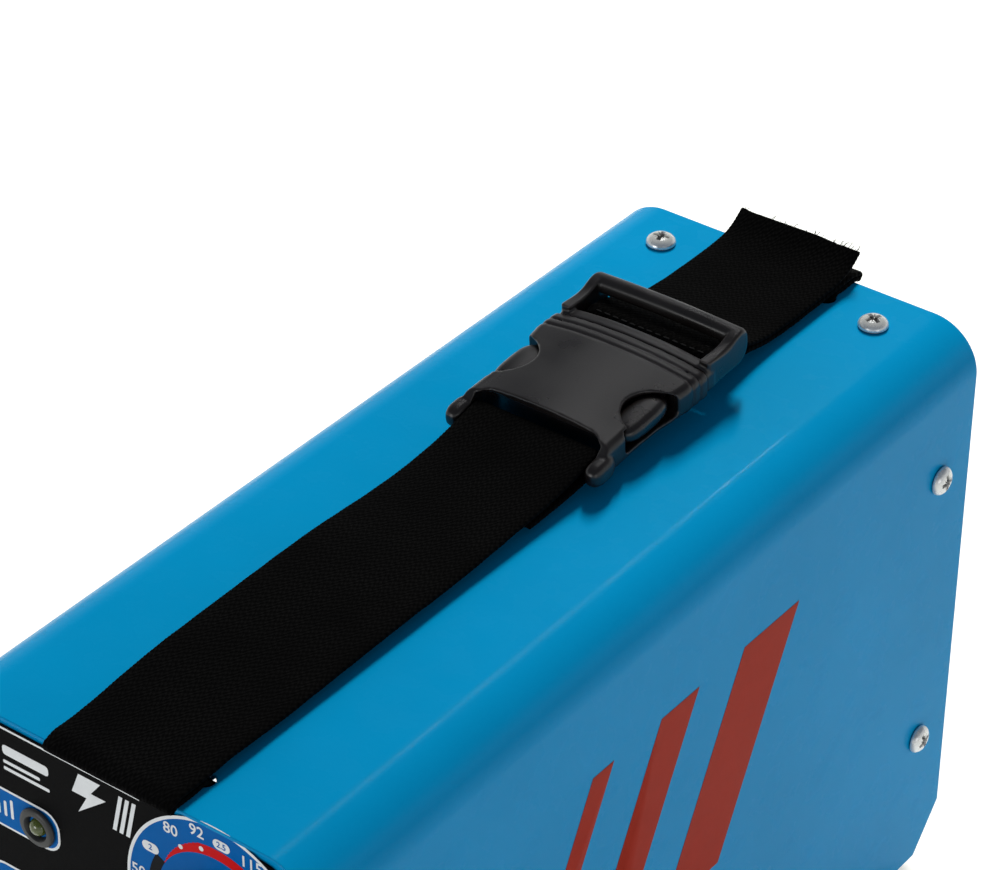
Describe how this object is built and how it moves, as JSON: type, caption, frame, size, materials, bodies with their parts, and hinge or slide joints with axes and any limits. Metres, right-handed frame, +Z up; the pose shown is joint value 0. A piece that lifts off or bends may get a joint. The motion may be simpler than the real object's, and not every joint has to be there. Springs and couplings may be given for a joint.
{
  "type": "stick welding inverter",
  "caption": "Compact stick welding inverter: blue steel case, webbing carry strap with side-release buckle, current knob, output sockets and fan.",
  "frame": {"origin": "on the floor under the middle of the whole object's box", "axes": "+Z up, -Y out of the front panel with the knob and sockets, +X to the object's right as seen from the front"},
  "size_m": [0.1278, 0.327, 0.2102],
  "materials": {
    "case_paint": "gloss powder coat",
    "label_print": "satin printed film",
    "zinc": "bright zinc plate",
    "rubber": "matt",
    "moulded_black": "fine texture",
    "buckle_plastic": "satin acetal",
    "knob_plastic": "satin",
    "brass": "turned",
    "lamp_green": "clear tinted",
    "lamp_amber": "clear tinted",
    "steel": "plain",
    "chrome_wire": "bright",
    "webbing": "woven polypropylene",
    "circuit_board": "satin solder mask",
    "aluminium": "extruded",
    "ferrite": "sintered, dark grey",
    "copper": "enamelled and bare copper",
    "can_sleeve": "shrink sleeve",
    "rocker_plastic": "gloss"
  },
  "bodies": {
    "root": {"cover": "case_paint", "front_panel": "case_paint", "rear_panel": "case_paint", "front_label": "label_print", "screw_top_left": "zinc", "screw_top_right": "zinc", "screw_left_front_upper": "zinc", "screw_left_front_lower": "zinc", "screw_left_rear_upper": "zinc", "screw_left_rear_lower": "zinc", "screw_right_front_upper": "zinc", "screw_right_front_lower": "zinc", "screw_right_rear_upper": "zinc", "screw_right_rear_lower": "zinc", "foot_front_left": "rubber", "foot_front_right": "rubber", "foot_rear_left": "rubber", "foot_rear_right": "rubber", "positive_socket_body": "moulded_black", "negative_socket_body": "moulded_black", "power_lamp_bezel": "moulded_black", "overheat_lamp_bezel": "moulded_black", "power_switch_housing": "moulded_black", "fan_frame": "moulded_black", "cable_gland": "moulded_black", "gland_nut": "moulded_black", "igbt_module": "moulded_black", "diode_module": "moulded_black", "bridge_rectifier": "moulded_black", "soft_start_relay": "moulded_black", "buckle_frame": "buckle_plastic", "positive_socket_insert": "brass", "negative_socket_insert": "brass", "power_lamp_lens": "lamp_green", "overheat_lamp_lens": "lamp_amber", "base_tray": "steel", "potentiometer": "steel", "front_strap_bar": "steel", "rear_strap_bar": "steel", "fan_guard": "chrome_wire", "front_strap": "webbing", "rear_strap": "webbing", "power_board": "circuit_board", "control_board": "circuit_board", "igbt_heatsink": "aluminium", "rectifier_heatsink": "aluminium", "transformer_core": "ferrite", "transformer_winding": "copper", "output_choke": "copper", "positive_busbar": "copper", "negative_busbar": "copper", "bus_capacitor_front": "can_sleeve", "bus_capacitor_rear": "can_sleeve"},
    "knob": {"current_knob": "knob_plastic", "knob_shaft": "steel"},
    "switch_rocker": {"power_switch_rocker": "rocker_plastic"},
    "fan_wheel": {"fan_rotor": "moulded_black"},
    "buckle_front": {"buckle_receiver": "buckle_plastic"},
    "arm_left": {"buckle_arm_left": "buckle_plastic"},
    "arm_right": {"buckle_arm_right": "buckle_plastic"}
  },
  "joints": [
    {"name": "current_setting", "type": "hinge", "parent": "root", "child": "knob", "pos_m": [0.031, -0.1555, 0.1625], "axis": [0, -1, 0], "range_deg": [-135, 135]},
    {"name": "power_switch", "type": "hinge", "parent": "root", "child": "switch_rocker", "pos_m": [-0.03, 0.1435, 0.048], "axis": [-1, 0, 0], "range_deg": [0, 20]},
    {"name": "fan_spin", "type": "hinge", "parent": "root", "child": "fan_wheel", "pos_m": [0, 0.1287, 0.12401], "axis": [0, -1, 0], "continuous": true},
    {"name": "buckle_release", "type": "slide", "parent": "root", "child": "buckle_front", "axis": [0, -0.9976, -0.0698], "range_m": [0, 0.034], "deforming": ["front_strap"]},
    {"name": "arm_left_press", "type": "hinge", "parent": "root", "child": "arm_left", "pos_m": [-0.0165, 0.05944, 0.2027], "axis": [0, -0.0698, 0.9976], "range_deg": [0, 7], "stiffness_Nm_per_rad": 0.3},
    {"name": "arm_right_press", "type": "hinge", "parent": "root", "child": "arm_right", "pos_m": [0.0165, 0.05944, 0.2027], "axis": [0, 0.0698, -0.9976], "range_deg": [0, 7], "stiffness_Nm_per_rad": 0.3}
  ],
  "couplings": [
    {"joint": "arm_right_press", "follows": "arm_left_press", "ratio": 1}
  ]
}
